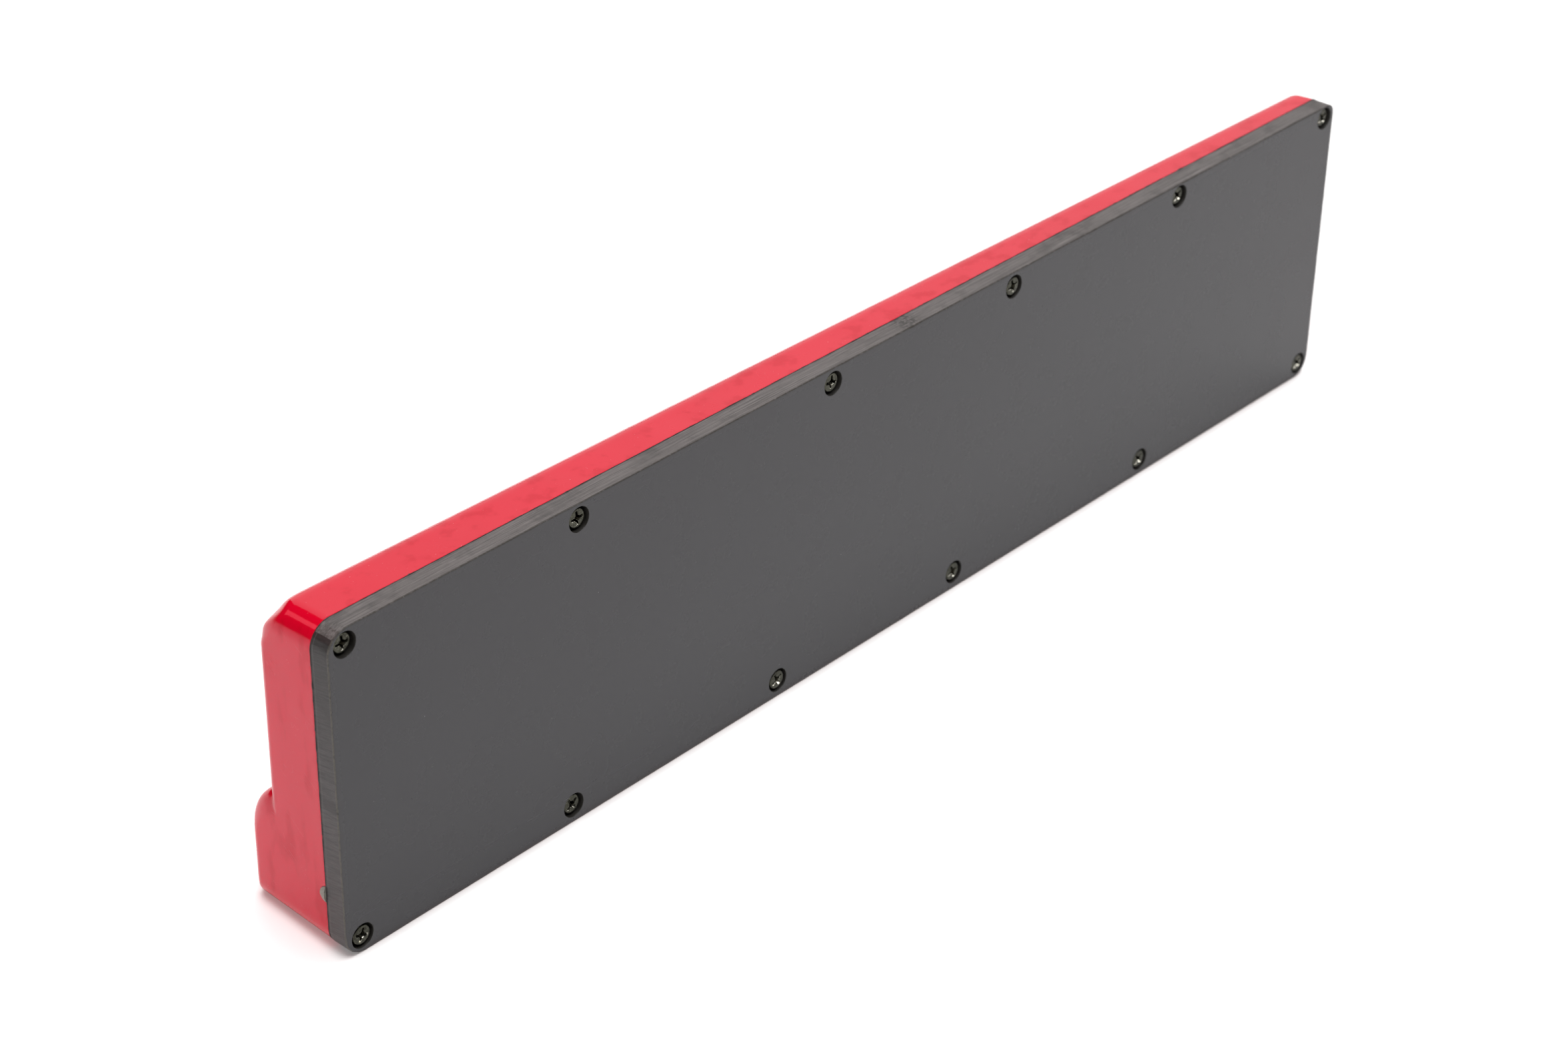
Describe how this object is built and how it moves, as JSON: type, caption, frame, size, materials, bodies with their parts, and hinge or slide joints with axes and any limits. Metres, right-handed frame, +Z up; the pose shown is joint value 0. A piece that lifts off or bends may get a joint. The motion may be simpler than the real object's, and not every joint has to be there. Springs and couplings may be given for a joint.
{
  "type": "sealed equipment housing",
  "caption": "Long shallow wedge-shaped plastic housing with a stepped moulded front, closed at the back by a flat screwed-down plate with a cable notch at the deep end.",
  "frame": {"origin": "middle of the footprint, level with the lower long edge of the back plate", "axes": "+X along the length from the cable-notch end (deep end) to the thin end, +Y from the back plate towards the moulded front, +Z up with the housing standing on its long lower edge"},
  "size_m": [0.439, 0.038, 0.1],
  "materials": {
    "shell_plastic": "polished red moulding",
    "cover_sheet": "satin dark grey sheet with sawn edges",
    "sealant": "dull black bead",
    "plug_rubber": "dull light grey",
    "screw_steel": "black oxide with a slight sheen",
    "insert_brass": "plain turned"
  },
  "bodies": {
    "root": {"front_shell": "shell_plastic", "rear_cover": "cover_sheet", "rim_seal": "sealant", "cable_plug": "plug_rubber", "corner_screws": "screw_steel", "top_edge_screws": "screw_steel", "low_edge_screws": "screw_steel", "corner_inserts": "insert_brass", "top_edge_inserts": "insert_brass", "low_edge_inserts": "insert_brass"}
  },
  "joints": []
}
